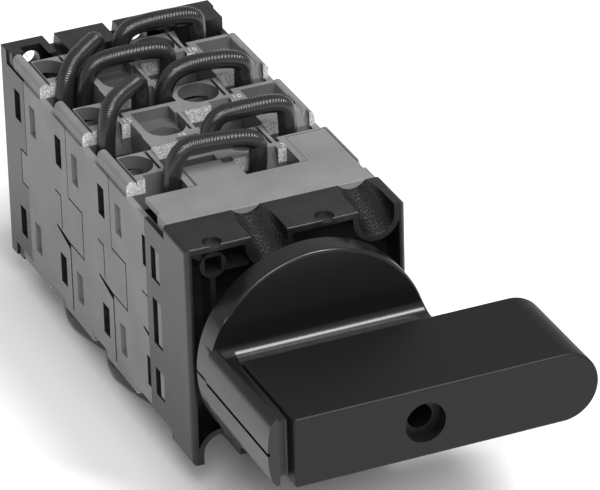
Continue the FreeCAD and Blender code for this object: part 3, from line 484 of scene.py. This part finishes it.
def roundEdges(name):
    bm = bmesh.new()
    bm.from_mesh(nodes[name].data)
    bmesh.ops.remove_doubles(bm, verts=bm.verts, dist=weld)
    bmesh.ops.dissolve_limit(bm, angle_limit=math.radians(creases["flat"]), verts=bm.verts, edges=bm.edges)
    if name == "handle":
        roundHandle(bm)
    elif name == "front_frame":
        roundFrame(bm)
    else:
        bevelEdges(bm, sharpEdges(bm, creases["sharp"]), edgeWidths[name], bevelSteps["fine"], True)
    for face in bm.faces:
        face.smooth = True
        face.material_index = 0
    materials = [finishes[slotOf[name]]]
    if name.startswith("cell_housing"):
        dressCell(bm, cells["seams"][int(name[-1])])
        materials += [paleErodedPaintedLight, dustAndPaintedShadeJoints, pitsPaintedShade]
    elif name in ("front_frame", "handle"):
        isSecond = isGroove if name == "front_frame" else isLever
        materials.append(erodedGroovesPaintedGlints if name == "front_frame" else grainedLever)
        for face in bm.faces:
            face.material_index = int(isSecond(face))
    piece = newPiece(name + "_moulding", bm, *materials)
    piece.data.set_sharp_from_angle(angle=math.radians(creases["shaded"]))
    weighted = piece.modifiers.new("evenShading", "WEIGHTED_NORMAL")
    weighted.keep_sharp = True
    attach(piece, bodyOf[name])
    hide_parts(name)
    print("rounded", name, len(piece.data.polygons), "faces")


# contact springs: bowed strips that flatten against the side wall when their contact moves out


def flattenSprings():
    for name in [n for n in nodes if n.startswith("contact_springs")]:
        for word, sign in (("left", -1), ("right", 1)):
            bm = bmesh.new()
            bm.from_mesh(nodes[name].data)
            bmesh.ops.delete(bm, geom=[v for v in bm.verts if v.co.x * sign < 0], context="VERTS")
            bmesh.ops.remove_doubles(bm, verts=bm.verts, dist=weld)
            piece = newPiece(name + "_" + word, bm, finishes[slotOf[name]])
            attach(piece, bodyOf[name])
            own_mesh(piece)
            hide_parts(name)


# wire links: stiff insulated wire, bent by hand, so each arch is one smooth curve over its route. Sizes in
# millimetres: legs and ends along the axis from the cell's rear joint, right, left and farEnd across from
# the middle of the column

wires = {"radius": 1.84, "level": 14.1, "frontLeg": -10.8, "frontEnd": -7.5, "rearLeg": -1.0, "rearEnd": -7.6,
         "right": 3.9, "farEnd": -1.9, "left": -0.4, "stepsAlong": 14, "stepsRound": 6}
# above the deck: steps across and heights, three from the left leg's line and two from the right leg's
archBends = {"front_1": ((0.4, 24.6), (2.6, 29.3), (7.5, 29.4), (0.9, 28.3), (1.2, 24.6)),
             "front_3": ((0.4, 22.8), (2.6, 26.6), (6.5, 27.3), (0.6, 27.0), (1.2, 23.0)),
             "rear_1": ((0.4, 24.8), (2.4, 29.2), (7.4, 29.3), (-0.6, 29.1), (-0.2, 25.0)),
             "rear_2": ((0.4, 24.4), (2.6, 28.2), (8.0, 29.2), (0.4, 27.9), (0.2, 24.0)),
             "rear_3": ((0.4, 24.4), (2.2, 27.6), (7.4, 28.2), (-0.4, 27.8), (-0.2, 24.2))}
# along the way from the first column's front well to the second column's rear well: share and height
diagonalBends = {2: ((0.08, 24.8), (0.24, 28.6), (0.7, 28.3), (0.98, 28.1), (1.0, 23.8)),
                 3: ((0.1, 23.4), (0.32, 26.4), (0.75, 26.9), (0.98, 27.0), (1.0, 23.4))}
# under the deck: steps to the front and heights
loopBends = ((0.0, -25.6), (1.5, -28.0), (6.0, -28.0))


def wireFoot(column, seam, offset, sign):
    x = cells["columns"][column] + offset
    leg, end = ("frontLeg", "frontEnd") if column in (0, 2) else ("rearLeg", "rearEnd")
    return (x, seam + wires[end], sign * wires["level"]), (x, seam + wires[leg], sign * wires["level"])


def straightRoute(row, cell, first, second):
    endA, footA = wireFoot(first, cells["seams"][cell], wires["right"], 1)
    endB, footB = wireFoot(second, cells["seams"][cell], wires["farEnd"], 1)
    steps = archBends["%s_%d" % (row, cell)]
    rise = [(footA[0] + x, footA[1], z) for x, z in steps[:3]]
    fall = [(footB[0] + x, footA[1], z) for x, z in steps[3:]]
    return [endA, footA] + rise + fall + [footB, endB]


def diagonalRoute(cell):
    endA, footA = wireFoot(0, cells["seams"][cell], wires["left"], 1)
    endB, footB = wireFoot(1, cells["seams"][cell], wires["left"], 1)
    over = [(footA[0] + share * (footB[0] - footA[0]), footA[1] + share * (footB[1] - footA[1]), z)
            for share, z in diagonalBends[cell]]
    return [endA, footA] + over + [footB, endB]


def bottomRoute(rearCell, frontCell):
    endA, footA = wireFoot(0, cells["seams"][rearCell], wires["left"], -1)
    endB, footB = wireFoot(0, cells["seams"][frontCell], wires["right"], -1)
    under = [(footA[0], footA[1] - step, z) for step, z in loopBends]
    return [endA, footA] + under + [(footB[0], footB[1], loopBends[-1][1]), footB, endB]


def wireArch(name, route):
    line = bpy.data.curves.new(name + "_line", "CURVE")
    line.dimensions = "3D"
    spline = line.splines.new("NURBS")
    spline.points.add(len(route) - 1)
    for point, place in zip(spline.points, route):
        point.co = (place[0] * mm, place[1] * mm, place[2] * mm, 1.0)
    spline.order_u = 3
    spline.use_endpoint_u = True
    spline.resolution_u = wires["stepsAlong"]
    line.bevel_depth = wires["radius"] * mm
    line.bevel_resolution = wires["stepsRound"]
    line.use_fill_caps = True
    draft = bpy.data.objects.new(name + "_line", line)
    drawn = bpy.data.meshes.new_from_object(draft)
    bm = bmesh.new()
    bm.from_mesh(drawn)
    bpy.data.objects.remove(draft)
    bpy.data.meshes.remove(drawn)
    bmesh.ops.remove_doubles(bm, verts=bm.verts, dist=weld)
    bmesh.ops.recalc_face_normals(bm, faces=bm.faces)
    for face in bm.faces:
        face.smooth = len(face.verts) == 4          # the two end caps stay flat
    piece = newPiece(name + "_sheath", bm, finishes[slotOf[name]])
    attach(piece, bodyOf[name])
    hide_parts(name)


def makeWires():
    for cell in (1, 2, 3):
        wireArch("wire_link_rear_%d" % cell, straightRoute("rear", cell, 1, 3))
    for cell in (1, 3):
        wireArch("wire_link_front_%d" % cell, straightRoute("front", cell, 0, 2))
    for cell in (2, 3):
        wireArch("wire_link_diagonal_%d" % cell, diagonalRoute(cell))
    wireArch("wire_link_bottom_rear", bottomRoute(3, 2))
    wireArch("wire_link_bottom_front", bottomRoute(2, 1))
    print("wires bent")


# raised terminal numbers on the flat strips of the deck, upright to someone in front of the handle. A row
# gives the way across from the column's middle, along from the cell's rear joint, and the size of the type

numbers = {"places": ((2, 1, "2"), (0, 1, "4"), (2, 2, "10"), (0, 2, "12"), (3, 2, "14"), (1, 2, "16"),
                      (2, 3, "18"), (0, 3, "20"), (3, 3, "22"), (1, 3, "24")),      # column, cell, digits
           "frontRow": {"across": 5.75, "along": -7.5, "size": 2.0},
           "rearRow": {"across": 1.5, "along": -17.6, "size": 1.7},
           "relief": 0.07, "curveSteps": 3}


def makeNumbers():
    bm = bmesh.new()
    for column, cell, digits in numbers["places"]:
        row = numbers["frontRow" if column in (0, 2) else "rearRow"]
        text = bpy.data.curves.new("digits", "FONT")
        text.body = digits
        text.size = row["size"] * mm
        text.extrude = numbers["relief"] * mm
        text.align_x, text.align_y = "CENTER", "CENTER"
        text.resolution_u = numbers["curveSteps"]
        draft = bpy.data.objects.new("digits", text)
        mesh = bpy.data.meshes.new_from_object(draft)
        x, y = cells["columns"][column] + row["across"], cells["seams"][cell] + row["along"]
        for sign in (1, -1):        # on the top, and turned over on the bottom
            turn = Matrix.Rotation(0 if sign > 0 else math.pi, 4, "Y")
            place = Matrix.Translation(Vector((x, y, sign * cells["top"])) * mm)
            copy = mesh.copy()
            copy.transform(place @ turn)
            bm.from_mesh(copy)
            bpy.data.meshes.remove(copy)
        bpy.data.objects.remove(draft)
        bpy.data.meshes.remove(mesh)
    bmesh.ops.remove_doubles(bm, verts=bm.verts, dist=weld / 2)
    bmesh.ops.recalc_face_normals(bm, faces=bm.faces)
    # the numbers are drawn in the pale finish of the block fronts, lighter than the deck around them
    piece = newPiece("terminal_numbers", bm, paleErodedPaintedLight)
    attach(piece, "housing")
    print("numbers raised", len(piece.data.polygons), "faces")


makeCamera()
makeStudio()
dressNodes()
for name in edgeWidths:
    roundEdges(name)
flattenSprings()
makeWires()
makeNumbers()
